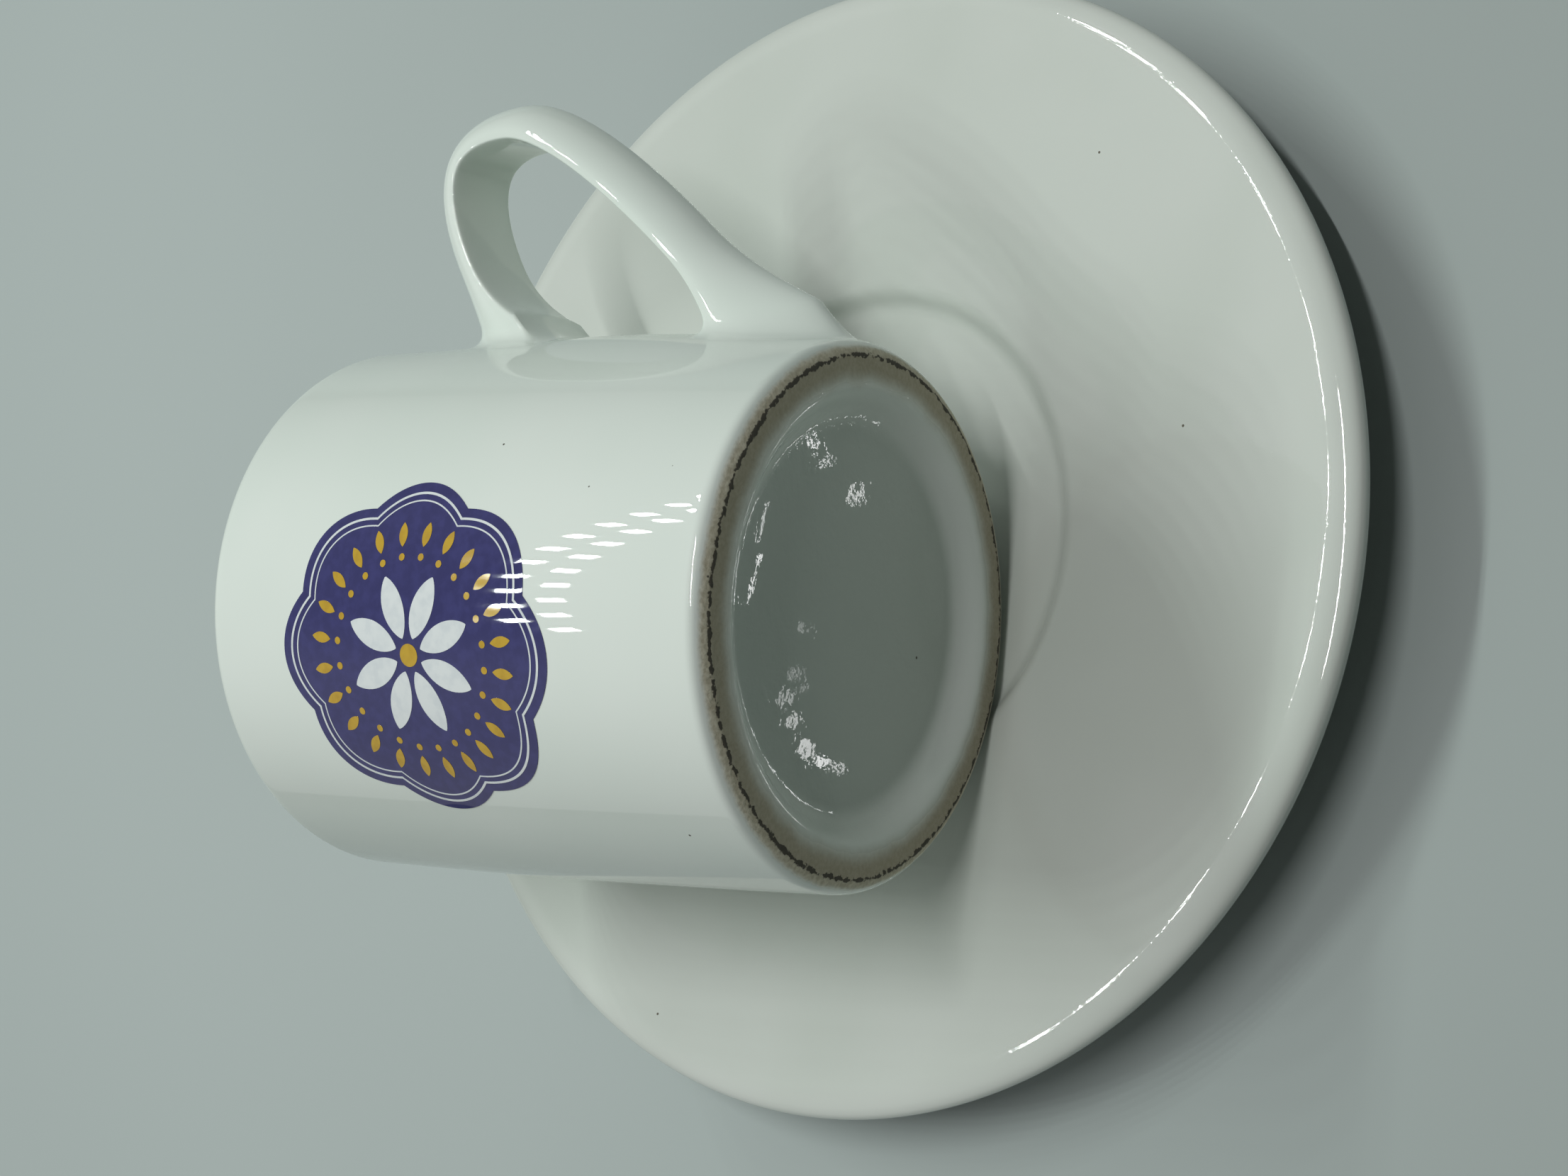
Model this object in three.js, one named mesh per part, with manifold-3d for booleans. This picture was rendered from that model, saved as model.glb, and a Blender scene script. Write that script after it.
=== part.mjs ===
// Turkish coffee cup lying on its side on its saucer, millimetres, +Z up.
// The origin is the middle of the saucer's foot. The cup's mouth points to +Y and its handle to +X.
import * as THREE from 'three';
import { mergeVertices } from 'three/addons/utils/BufferGeometryUtils.js';
import Module from 'manifold-3d';

const wasm = await Module();
wasm.setup();

// Saucer
const SAUCER_RADIUS = 60;
const SAUCER_HEIGHT = 11.1;
const RIM_WIDTH = 3.6;
const CROWN_WIDTH = 2.5;
const CROWN_FALL = 0.33;
const RIM_ROLL = 1.2;
const RIM_UNDERCUT = 2.0;
const WELL_RADIUS = 28.0;
const WELL_EDGE_HEIGHT = 6.7;
const WELL_DEPTH = 1.6;
const WELL_SLOPE_WIDTH = 3.2;
const SLOPE_AT_WELL = 0.12;
const SLOPE_AT_RIM = 0.185;
const SLOPE_RUN = 9.5;
const SAUCER_FLOOR_THICKNESS = 3.6;
const UNDERSIDE_RUN_AT_RIM = 7;
const UNDERSIDE_RUN_AT_FOOT = 9;
const SAUCER_FOOT_RADIUS = 33;
const SAUCER_FOOT_WIDTH = 3.0;
const SAUCER_FOOT_CHAMFER = 0.8;

// Cup
const CUP_HEIGHT = 58.4;
const LIP_RADIUS = 27.1;
const LIP_THICKNESS = 2.4;
const BASE_RADIUS = 25.1;
const WALL_BULGE = 0.3;
const WALL_THICKNESS = 3.2;
const CUP_FLOOR_THICKNESS = 4.2;
const INNER_CORNER_RADIUS = 9;
const FOOT_CHAMFER_WIDTH = 1.5;
const FOOT_CHAMFER_HEIGHT = 1.9;
const FOOT_CORNER_CUT = 0.5;
const FOOT_FLAT_WIDTH = 2.6;
const RECESS_DEPTH = 2.3;
const RECESS_SLOPE_WIDTH = 3.9;
const RECESS_RUN_AT_DISC = 2.0;
const RECESS_RUN_AT_FLAT = 1.4;

// Handle, a bent strap that narrows from its upper arch to its lower run
const UPPER_SEAT_BELOW_LIP = 15.8;
const LOWER_SEAT_HEIGHT = 10.3;
const HANDLE_REACH = 22.8;
const CREST_BELOW_LIP = 16.2;
const ARCH_FORWARD = 11.4;
const ARCH_DROP = 9.2;
const RUN_LENGTH_AT_CREST = 8.5;
const RUN_RISE_FROM_SEAT = 6.4;
const RUN_SHIFT_FROM_SEAT = 5;
const STRAP_THICKNESS_TOP = 3.9;
const STRAP_THICKNESS_BOTTOM = 4.4;
const STRAP_WIDTH_TOP = 8.8;
const STRAP_WIDTH_BOTTOM = 7.2;
const STRAP_ROUNDNESS_OUTSIDE = 1.7;
const STRAP_SQUARENESS_INSIDE = 4.5;
const STRAP_RIDGE_SHIFT = 0.5;
const LOWER_SEAT_FLARE = 4.4;
const UPPER_SEAT_FLARE = 3.2;
const SEAT_FLARE_WIDTH = 1.6;
const LOWER_FLARE_LENGTH = 14;
const UPPER_FLARE_LENGTH = 10;
const SEAT_ROOT = 4;

// Printed medallion on the wall
const MEDALLION_RADIUS = 16;
const MEDALLION_LOBES = 8;
const MEDALLION_LOBE_DEPTH = 1.5;
const MEDALLION_BELOW_LIP = 26.4;
const MEDALLION_TURN_FROM_HANDLE = 98;
const MEDALLION_THICKNESS = 0.3;

// Where the cup lies on the saucer
const CUP_AXIS_OFFSET = -11.4;
const CUP_BASE_OFFSET = -22.4;
const HANDLE_TILT = 8;
const CLEARANCE = 0.3;

// Facets
const TURN_STEPS = 64;
const CURVE_STEPS = 6;
const STRAP_STEPS = 34;
const STRAP_SIDES = 16;
const MEDALLION_RINGS = 5;

// Search for the lying pose
const SIDE_ANGLE = 45;
const STEEPEST_TILT = 30;
const HALVINGS = 40;

const cupInk = new THREE.MeshStandardMaterial({ color: 0x1d2b57, roughness: 0.3, metalness: 0 });
const cupGlaze = new THREE.MeshStandardMaterial({ color: 0xe4eae4, roughness: 0.12, metalness: 0 });
const saucerGlaze = new THREE.MeshStandardMaterial({ color: 0xe3e5dc, roughness: 0.15, metalness: 0 });

// A geometry's points merged, with the triangles that collapse on an axis left out.
function weld(geometry) {
  geometry.deleteAttribute('normal');
  geometry.deleteAttribute('uv');
  const merged = mergeVertices(geometry, 1e-4);
  const corners = merged.getIndex().array;
  const kept = [];
  for (let i = 0; i < corners.length; i += 3) {
    const [a, b, c] = corners.slice(i, i + 3);
    if (a !== b && b !== c && c !== a) kept.push(a, b, c);
  }
  merged.setIndex(kept);
  return merged;
}

// A closed profile of (radius, height) points turned about the Z axis.
function turn(profile) {
  return weld(new THREE.LatheGeometry(profile, TURN_STEPS).rotateX(Math.PI / 2));
}

function meshOf(points, faces) {
  const geometry = new THREE.BufferGeometry();
  geometry.setAttribute('position', new THREE.BufferAttribute(new Float32Array(points), 3));
  geometry.setIndex(faces);
  return geometry;
}

function toSolid(geometry) {
  return new wasm.Manifold(new wasm.Mesh({
    numProp: 3,
    vertProperties: new Float32Array(geometry.getAttribute('position').array),
    triVerts: new Uint32Array(geometry.getIndex().array),
  }));
}

function toGeometry(solid) {
  const mesh = solid.getMesh();
  return meshOf(mesh.vertProperties, Array.from(mesh.triVerts));
}

function namedMesh(name, geometry, material) {
  const mesh = new THREE.Mesh(geometry, material);
  mesh.name = name;
  return mesh;
}

// Height of a profile at a radius, read along its points.
function heightAt(points, radius) {
  const next = points.findIndex((point) => point.x >= radius);
  if (next <= 0) return points[0].y;
  const [a, b] = [points[next - 1], points[next]];
  return THREE.MathUtils.mapLinear(radius, a.x, b.x, a.y, b.y);
}

// Saucer: the three points of its rim's crown, which turns the slope's steepness over to a fall.
function rimCrown() {
  const start = SAUCER_RADIUS - RIM_WIDTH;
  const half = CROWN_WIDTH / 2;
  const low = SAUCER_HEIGHT - half * SLOPE_AT_RIM ** 2 / (SLOPE_AT_RIM + CROWN_FALL);
  const middle = low + half * SLOPE_AT_RIM;
  return [
    new THREE.Vector2(start, low),
    new THREE.Vector2(start + half, middle),
    new THREE.Vector2(start + 2 * half, middle - half * CROWN_FALL),
  ];
}

// Upper side: a flat well, a soft step, a wide slope and the crown of the rim.
function saucerTop() {
  const floor = WELL_EDGE_HEIGHT - WELL_DEPTH;
  const foot = WELL_RADIUS - WELL_SLOPE_WIDTH;
  const half = WELL_SLOPE_WIDTH / 2;
  const [start, middle, end] = rimCrown();
  const top = new THREE.Path().moveTo(0, floor);
  top.lineTo(foot, floor);
  top.bezierCurveTo(
    foot + half, floor,
    WELL_RADIUS - half, WELL_EDGE_HEIGHT - half * SLOPE_AT_WELL,
    WELL_RADIUS, WELL_EDGE_HEIGHT,
  );
  top.bezierCurveTo(
    WELL_RADIUS + SLOPE_RUN, WELL_EDGE_HEIGHT + SLOPE_RUN * SLOPE_AT_WELL,
    start.x - SLOPE_RUN, start.y - SLOPE_RUN * SLOPE_AT_RIM,
    start.x, start.y,
  );
  top.quadraticCurveTo(middle.x, middle.y, end.x, end.y);
  return top.getPoints(CURVE_STEPS);
}

// Lower side: round the rim, under the slope and over the foot ring.
function saucerBottom() {
  const crownEnd = rimCrown()[2];
  const widest = crownEnd.y - RIM_ROLL;
  const rimUnder = widest - RIM_UNDERCUT;
  const turnsUnder = crownEnd.x - RIM_ROLL;
  const out = (SAUCER_RADIUS - crownEnd.x) / 2;
  const underside = WELL_EDGE_HEIGHT - WELL_DEPTH - SAUCER_FLOOR_THICKNESS;
  const footOuter = SAUCER_FOOT_RADIUS + SAUCER_FOOT_WIDTH / 2;
  const footInner = SAUCER_FOOT_RADIUS - SAUCER_FOOT_WIDTH / 2;
  const bottom = new THREE.Path().moveTo(crownEnd.x, crownEnd.y);
  bottom.bezierCurveTo(
    crownEnd.x + out, crownEnd.y - out * CROWN_FALL,
    SAUCER_RADIUS, widest + RIM_ROLL / 2,
    SAUCER_RADIUS, widest,
  );
  bottom.bezierCurveTo(
    SAUCER_RADIUS, widest - RIM_UNDERCUT / 2,
    SAUCER_RADIUS - out, rimUnder,
    turnsUnder, rimUnder,
  );
  bottom.bezierCurveTo(
    turnsUnder - UNDERSIDE_RUN_AT_RIM, rimUnder,
    footOuter + UNDERSIDE_RUN_AT_FOOT, underside + SAUCER_FOOT_CHAMFER,
    footOuter, underside,
  );
  bottom.lineTo(footOuter, SAUCER_FOOT_CHAMFER);
  bottom.lineTo(footOuter - SAUCER_FOOT_CHAMFER, 0);
  bottom.lineTo(footInner + SAUCER_FOOT_CHAMFER, 0);
  bottom.lineTo(footInner, SAUCER_FOOT_CHAMFER);
  bottom.lineTo(footInner, underside - SAUCER_FOOT_CHAMFER);
  bottom.lineTo(footInner - SAUCER_FOOT_CHAMFER, underside);
  bottom.lineTo(0, underside);
  return bottom.getPoints(CURVE_STEPS);
}

// Cup: outer radius of its wall at a height above the foot.
function wallRadius(height) {
  const share = height / CUP_HEIGHT;
  return BASE_RADIUS + (LIP_RADIUS - BASE_RADIUS) * share + 4 * WALL_BULGE * share * (1 - share);
}

function wallPoints(from, to, offset) {
  const points = [];
  for (let i = 0; i <= CURVE_STEPS; i += 1) {
    const height = from + (to - from) * i / CURVE_STEPS;
    points.push(new THREE.Vector2(wallRadius(height) + offset, height));
  }
  return points;
}

// Outer side, from the middle of the recessed base to the top of the lip.
function cupOutside() {
  const lipRound = LIP_THICKNESS / 2;
  const lipHeight = CUP_HEIGHT - lipRound;
  const flatOuter = wallRadius(FOOT_CHAMFER_HEIGHT) - FOOT_CHAMFER_WIDTH;
  const flatInner = flatOuter - FOOT_FLAT_WIDTH;
  const recess = flatInner - RECESS_SLOPE_WIDTH;
  const base = new THREE.Path().moveTo(0, RECESS_DEPTH);
  base.lineTo(recess, RECESS_DEPTH);
  base.bezierCurveTo(
    recess + RECESS_RUN_AT_DISC, RECESS_DEPTH,
    flatInner - RECESS_RUN_AT_FLAT, 0,
    flatInner, 0,
  );
  base.lineTo(flatOuter, 0);
  base.quadraticCurveTo(
    wallRadius(0) - FOOT_CORNER_CUT, FOOT_CORNER_CUT,
    wallRadius(FOOT_CHAMFER_HEIGHT), FOOT_CHAMFER_HEIGHT,
  );
  const lip = new THREE.Path();
  lip.absarc(wallRadius(lipHeight) - lipRound, lipHeight, lipRound, 0, Math.PI / 2, false);
  const wall = wallPoints(FOOT_CHAMFER_HEIGHT, lipHeight, 0);
  return [...base.getPoints(CURVE_STEPS), ...wall.slice(1), ...lip.getPoints(CURVE_STEPS / 2).slice(1)];
}

// Inner side, from the top of the lip to the middle of the floor.
function cupInside() {
  const lipRound = LIP_THICKNESS / 2;
  const lipHeight = CUP_HEIGHT - lipRound;
  const floor = RECESS_DEPTH + CUP_FLOOR_THICKNESS;
  const cornerTop = floor + INNER_CORNER_RADIUS;
  const cornerRadius = wallRadius(cornerTop) - WALL_THICKNESS;
  const inside = new THREE.Path();
  inside.absarc(wallRadius(lipHeight) - lipRound, lipHeight, lipRound, Math.PI / 2, Math.PI, false);
  inside.lineTo(cornerRadius, cornerTop);
  inside.quadraticCurveTo(cornerRadius, floor, cornerRadius - INNER_CORNER_RADIUS, floor);
  inside.lineTo(0, floor);
  return inside.getPoints(CURVE_STEPS / 2);
}

// The space that the cup's wall takes, grown by a gap, as a plain solid to cut with.
function wallBlank(gap) {
  const wall = wallPoints(0, CUP_HEIGHT, gap);
  return turn([new THREE.Vector2(0, 0), ...wall, new THREE.Vector2(0, CUP_HEIGHT)]);
}

// Middle line of the handle in the plane of the cup's axis: a straight run, then an arch.
function handleLine() {
  const place = (outFromWall, height) => new THREE.Vector3(wallRadius(height) + outFromWall, 0, height);
  const lower = LOWER_SEAT_HEIGHT;
  const upper = CUP_HEIGHT - UPPER_SEAT_BELOW_LIP;
  const crest = place(HANDLE_REACH, CUP_HEIGHT - CREST_BELOW_LIP);
  const lowerSeat = place(0, lower);
  const upperSeat = place(0, upper);
  const runLeaves = lowerSeat.clone().add(new THREE.Vector3(RUN_RISE_FROM_SEAT, 0, RUN_SHIFT_FROM_SEAT));
  const archLeaves = crest.clone().add(new THREE.Vector3(0, 0, ARCH_FORWARD));
  const archTurns = archLeaves.clone().sub(new THREE.Vector3(ARCH_DROP, 0, 0));
  const rootOf = (seat, next) => seat.clone().add(seat.clone().sub(next).setLength(SEAT_ROOT));
  const line = new THREE.CurvePath();
  line.add(new THREE.LineCurve3(rootOf(lowerSeat, runLeaves), lowerSeat));
  line.add(new THREE.CubicBezierCurve3(
    lowerSeat,
    runLeaves,
    crest.clone().sub(new THREE.Vector3(0, 0, RUN_LENGTH_AT_CREST)),
    crest,
  ));
  line.add(new THREE.CubicBezierCurve3(crest, archLeaves, archTurns, upperSeat));
  line.add(new THREE.LineCurve3(upperSeat, rootOf(upperSeat, archTurns)));
  return line;
}

// Section of the strap at an angle, as shares of its half thickness and half width: round on the outer
// side, nearly flat on the inner side, and widest nearer to the inner side.
function strapSection(angle) {
  const outer = Math.cos(angle) > 0;
  const squareness = outer ? STRAP_ROUNDNESS_OUTSIDE : STRAP_SQUARENESS_INSIDE;
  const depth = outer ? 1 + STRAP_RIDGE_SHIFT : 1 - STRAP_RIDGE_SHIFT;
  const rounded = (value) => Math.sign(value) * Math.abs(value) ** (2 / squareness);
  return [rounded(Math.cos(angle)) * depth - STRAP_RIDGE_SHIFT, rounded(Math.sin(angle))];
}

// Strap of that section along the middle line, swelling where it meets the wall.
function strap() {
  const line = handleLine();
  const length = line.getLength();
  const across = new THREE.Vector3(0, 1, 0);
  const points = [];
  const faces = [];
  for (let i = 0; i <= STRAP_STEPS; i += 1) {
    const share = i / STRAP_STEPS;
    const centre = line.getPointAt(share);
    const normal = across.clone().cross(line.getTangentAt(share)).normalize();
    const fromSeat = Math.max(Math.min(share, 1 - share) * length - SEAT_ROOT, 0);
    const flareLength = share < 0.5 ? LOWER_FLARE_LENGTH : UPPER_FLARE_LENGTH;
    const flare = Math.max(1 - fromSeat / flareLength, 0) ** 2;
    const seatFlare = share < 0.5 ? LOWER_SEAT_FLARE : UPPER_SEAT_FLARE;
    const thickness = THREE.MathUtils.lerp(STRAP_THICKNESS_BOTTOM, STRAP_THICKNESS_TOP, share);
    const halfThickness = thickness / 2 + flare * seatFlare;
    const width = THREE.MathUtils.lerp(STRAP_WIDTH_BOTTOM, STRAP_WIDTH_TOP, share);
    const halfWidth = width / 2 + flare * SEAT_FLARE_WIDTH;
    for (let j = 0; j < STRAP_SIDES; j += 1) {
      const [thickShare, wideShare] = strapSection(j / STRAP_SIDES * 2 * Math.PI);
      const point = centre.clone();
      point.addScaledVector(normal, thickShare * halfThickness);
      point.addScaledVector(across, wideShare * halfWidth);
      points.push(...point.toArray());
    }
  }
  const corner = (ring, side) => ring * STRAP_SIDES + side % STRAP_SIDES;
  for (let i = 0; i < STRAP_STEPS; i += 1) {
    for (let j = 0; j < STRAP_SIDES; j += 1) {
      faces.push(corner(i, j), corner(i, j + 1), corner(i + 1, j));
      faces.push(corner(i, j + 1), corner(i + 1, j + 1), corner(i + 1, j));
    }
  }
  for (let j = 1; j < STRAP_SIDES - 1; j += 1) {
    faces.push(corner(0, 0), corner(0, j + 1), corner(0, j));
    faces.push(corner(STRAP_STEPS, 0), corner(STRAP_STEPS, j), corner(STRAP_STEPS, j + 1));
  }
  return meshOf(points, faces);
}

function handle() {
  return toGeometry(toSolid(strap()).subtract(toSolid(wallBlank(CLEARANCE))));
}

// Lobed outline of the medallion: its reach from the middle in a direction on the wall.
function medallionReach(angle) {
  const scallop = Math.abs(Math.cos(angle * MEDALLION_LOBES / 2));
  return MEDALLION_RADIUS - MEDALLION_LOBE_DEPTH * (1 - scallop);
}

// Print: a thin plate bent round the wall, its inner and outer faces made of rings about the middle.
function medallion() {
  const middle = CUP_HEIGHT - MEDALLION_BELOW_LIP;
  const facing = THREE.MathUtils.degToRad(MEDALLION_TURN_FROM_HANDLE);
  const points = [];
  const faces = [];
  const addPoint = (along, up, offset) => {
    const height = middle + up;
    const radius = wallRadius(height) + offset;
    const angle = facing + along / wallRadius(middle);
    points.push(radius * Math.cos(angle), -radius * Math.sin(angle), height);
  };
  for (const offset of [CLEARANCE, CLEARANCE + MEDALLION_THICKNESS]) {
    addPoint(0, 0, offset);
    for (let i = 1; i <= MEDALLION_RINGS; i += 1) {
      for (let j = 0; j < TURN_STEPS; j += 1) {
        const angle = j / TURN_STEPS * 2 * Math.PI;
        const reach = medallionReach(angle) * i / MEDALLION_RINGS;
        addPoint(reach * Math.cos(angle), reach * Math.sin(angle), offset);
      }
    }
  }
  const outerStart = 1 + MEDALLION_RINGS * TURN_STEPS;
  const onRing = (i, j) => (i === 0 ? 0 : 1 + (i - 1) * TURN_STEPS + j % TURN_STEPS);
  const addFace = (a, b, c) => {
    faces.push(a, b, c);
    faces.push(outerStart + a, outerStart + c, outerStart + b);
  };
  for (let j = 0; j < TURN_STEPS; j += 1) {
    addFace(0, onRing(1, j), onRing(1, j + 1));
    for (let i = 1; i < MEDALLION_RINGS; i += 1) {
      addFace(onRing(i, j), onRing(i + 1, j), onRing(i + 1, j + 1));
      addFace(onRing(i, j), onRing(i + 1, j + 1), onRing(i, j + 1));
    }
    const [a, b] = [onRing(MEDALLION_RINGS, j), onRing(MEDALLION_RINGS, j + 1)];
    faces.push(a, outerStart + a, b);
    faces.push(b, outerStart + a, outerStart + b);
  }
  return meshOf(points, faces);
}

// Lying pose: the tilt at which the foot and the lip both lie a clearance above the saucer.
function lyingPose(outside, top) {
  const lowest = (tilt, points) => {
    let least = Infinity;
    for (const point of points) {
      for (let degrees = -SIDE_ANGLE; degrees <= SIDE_ANGLE; degrees += 1) {
        const angle = THREE.MathUtils.degToRad(degrees);
        const below = point.x * Math.cos(angle);
        const x = CUP_AXIS_OFFSET + point.x * Math.sin(angle);
        const y = CUP_BASE_OFFSET + point.y * Math.cos(tilt) + below * Math.sin(tilt);
        const z = point.y * Math.sin(tilt) - below * Math.cos(tilt);
        least = Math.min(least, z - heightAt(top, Math.hypot(x, y)));
      }
    }
    return least;
  };
  const footSide = outside.filter((point) => point.y < CUP_HEIGHT / 2);
  const lipSide = outside.filter((point) => point.y >= CUP_HEIGHT / 2);
  let steep = THREE.MathUtils.degToRad(STEEPEST_TILT);
  let flat = -steep;
  for (let i = 0; i < HALVINGS; i += 1) {
    const tilt = (flat + steep) / 2;
    if (lowest(tilt, lipSide) < lowest(tilt, footSide)) flat = tilt;
    else steep = tilt;
  }
  return { tilt: flat, height: CLEARANCE - lowest(flat, outside) };
}

const top = saucerTop();
const outside = cupOutside();
const pose = lyingPose(outside, top);

const lyingCup = new THREE.Group();
lyingCup.position.set(CUP_AXIS_OFFSET, CUP_BASE_OFFSET, pose.height);
lyingCup.rotation.set(pose.tilt - Math.PI / 2, 0, THREE.MathUtils.degToRad(-HANDLE_TILT));
lyingCup.add(namedMesh('cup_body', turn([...outside, ...cupInside().slice(1)]), cupGlaze));
lyingCup.add(namedMesh('cup_handle', handle(), cupGlaze));
lyingCup.add(namedMesh('front_medallion', medallion(), cupInk));

const coffeeCup = new THREE.Group();
coffeeCup.add(namedMesh('saucer', turn([...top, ...saucerBottom().slice(1)].reverse()), saucerGlaze));
coffeeCup.add(lyingCup);

export default coffeeCup;
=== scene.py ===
"""Looks of a Turkish coffee cup that lies on its side on its saucer.

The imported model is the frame. Each CAD node is replaced by a finer surface worked out with numpy in the
same place: the saucer and the cup are turned profiles, the handle is a section carried along a bent line
and filleted into the wall, and the printed medallion is a set of thin plates bent round the wall.
Sizes are millimetres in the part's frame, +Z up, and become metres when a mesh is made.
"""

import logging
import math
from dataclasses import dataclass, field
from enum import Enum
from typing import Sequence

import bpy
import numpy as np
from mathutils import Matrix, Vector
from numpy.typing import NDArray


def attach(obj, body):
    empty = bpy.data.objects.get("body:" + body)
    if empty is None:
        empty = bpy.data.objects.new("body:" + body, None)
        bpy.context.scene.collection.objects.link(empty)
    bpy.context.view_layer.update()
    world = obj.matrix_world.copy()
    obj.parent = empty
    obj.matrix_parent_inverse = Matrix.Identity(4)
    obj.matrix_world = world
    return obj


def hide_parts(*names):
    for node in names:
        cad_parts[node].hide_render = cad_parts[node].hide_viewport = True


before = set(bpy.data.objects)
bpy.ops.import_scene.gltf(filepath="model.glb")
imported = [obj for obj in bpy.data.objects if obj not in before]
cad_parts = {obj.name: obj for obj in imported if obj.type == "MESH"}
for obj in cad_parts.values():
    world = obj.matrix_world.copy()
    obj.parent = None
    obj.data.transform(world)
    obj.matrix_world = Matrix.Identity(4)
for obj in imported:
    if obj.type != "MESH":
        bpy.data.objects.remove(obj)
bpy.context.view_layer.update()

Array = NDArray[np.float64]
Point = tuple[float, float]
Triple = tuple[float, float, float]
Rgb = tuple[int, int, int]
Socket = bpy.types.NodeSocket

MM = 0.001
LOG = logging.getLogger("coffee_cup")


class Body(Enum):
    """The CAD bodies that pieces ride on."""

    SAUCER = "saucer"
    CUP = "cup"


class Slot(Enum):
    """Names of the material slots."""

    SAUCER_GLAZE = "saucer_glaze"
    CUP_GLAZE = "cup_glaze"
    PRINT = "print"


# Curves and surfaces


def bezier(*controls: Point, steps: int) -> Array:
    """Bezier curve of any degree: the controls weighted by Bernstein polynomials.

    Args:
        controls: Control points, (radius, height).
        steps: Number of steps along the curve.

    Returns:
        Points along the curve, (steps + 1, 2).
    """
    share = np.linspace(0, 1, steps + 1)
    degree = len(controls) - 1
    weights = [math.comb(degree, i) * share**i * (1 - share) ** (degree - i) for i in range(degree + 1)]
    return np.stack(weights, axis=1) @ np.array(controls, float)


def arc(centre: Point, radius: float, start: float, end: float, steps: int) -> Array:
    """Arc of a circle: the centre plus the radius times (cos, sin) of an even run of angles in degrees.

    Args:
        centre: Middle of the circle.
        radius: Its radius.
        start: First angle in degrees.
        end: Last angle in degrees.
        steps: Number of steps.

    Returns:
        Points along the arc, (steps + 1, 2).
    """
    angles = np.radians(np.linspace(start, end, steps + 1))
    return np.array(centre) + radius * np.stack([np.cos(angles), np.sin(angles)], axis=1)


def chain(*runs: Array) -> Array:
    """Joins runs of points end to end, leaving out each run's first point where it repeats the last.

    Args:
        runs: Points of each run, (points, 2).

    Returns:
        All the points, (points, 2).
    """
    kept = [runs[0]]
    for run in runs[1:]:
        repeats = np.allclose(run[0], kept[-1][-1], atol=1e-6)
        kept.append(run[1:] if repeats else run)
    return np.concatenate(kept)


def run_lengths(points: Array) -> Array:
    """Length along a line of points, measured from its first one."""
    steps = np.linalg.norm(np.diff(points, axis=0), axis=-1)
    return np.concatenate([np.zeros_like(steps[:1]), np.cumsum(steps, axis=0)])


def smooth_step(value: Array) -> Array:
    """Runs smoothly from 0 to 1 as the value does: 3 v^2 - 2 v^3."""
    clipped = np.clip(value, 0, 1)
    return clipped * clipped * (3 - 2 * clipped)


@dataclass
class Surface:
    """Points, faces and named values per point of one mesh, in millimetres."""

    points: Array
    faces: list[list[int]]
    values: dict[str, Array] = field(default_factory=dict)


def joined(surfaces: Sequence[Surface]) -> Surface:
    """Surfaces as one mesh, without their named values.

    Args:
        surfaces: The surfaces, one after another.

    Returns:
        The whole mesh.
    """
    starts = np.cumsum([0] + [len(surface.points) for surface in surfaces]).tolist()
    faces = [
        [start + corner for corner in face]
        for start, surface in zip(starts, surfaces)
        for face in surface.faces
    ]
    return Surface(np.concatenate([surface.points for surface in surfaces]), faces)


def tube_faces(rings: int, sides: int) -> list[list[int]]:
    """Quads between rings of points, each ring closed on itself.

    Args:
        rings: Number of rings, one after another in the point list.
        sides: Points on each ring.

    Returns:
        Corner numbers of each quad.
    """
    ring, side = np.meshgrid(np.arange(rings - 1), np.arange(sides), indexing="ij")
    here, beside = ring * sides + side, ring * sides + (side + 1) % sides
    return np.stack([here, here + sides, beside + sides, beside], axis=-1).reshape(-1, 4).tolist()


def capped_tube(rings: Array, first: Array, last: Array) -> Surface:
    """Closes a stack of rings with a fan of triangles at each end.

    Args:
        rings: Points, (rings, sides, 3).
        first: Point that closes the first ring.
        last: Point that closes the last ring.

    Returns:
        The closed surface, with its two end points last in the list.
    """
    count, sides, _ = rings.shape
    points = np.concatenate([rings.reshape(-1, 3), first[None], last[None]])
    side = np.arange(sides)
    beside = (side + 1) % sides
    end = (count - 1) * sides
    near = np.stack([np.full(sides, count * sides), side, beside], axis=1)
    far = np.stack([np.full(sides, count * sides + 1), end + beside, end + side], axis=1)
    return Surface(points, tube_faces(count, sides) + near.tolist() + far.tolist())


def lathe(profile: Array, turns: int) -> Surface:
    """Turns a profile about Z: each point is (r cos a, r sin a, z) for an even run of angles a.

    Args:
        profile: Points (radius, height) from axis to axis, with the solid on the right hand of the run.
        turns: Steps round the axis.

    Returns:
        The closed surface, with a fan at each pole.
    """
    angles = np.linspace(0, 2 * np.pi, turns, endpoint=False)
    inner = profile[1:-1]
    rings = np.empty((len(inner), turns, 3))
    rings[..., 0] = inner[:, :1] * np.cos(angles)
    rings[..., 1] = inner[:, :1] * np.sin(angles)
    rings[..., 2] = inner[:, 1:]
    poles = [np.array([0, 0, height]) for height in profile[[0, -1], 1]]
    return capped_tube(rings, poles[0], poles[1])


def along_profile(values: Array, turns: int) -> Array:
    """One value per profile point, repeated for each point that a lathe makes of it."""
    return np.concatenate([np.repeat(values[1:-1], turns), values[[0, -1]]])


# Materials


def linear(colour: Rgb) -> tuple[float, float, float, float]:
    """An 8-bit sRGB colour as linear light: the sRGB curve undone for each channel.

    Args:
        colour: Red, green and blue from 0 to 255.

    Returns:
        Red, green, blue and full alpha.
    """
    shares = [channel / 255 for channel in colour]
    light = [s / 12.92 if s <= 0.04045 else ((s + 0.055) / 1.055) ** 2.4 for s in shares]
    return (light[0], light[1], light[2], 1.0)


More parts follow.
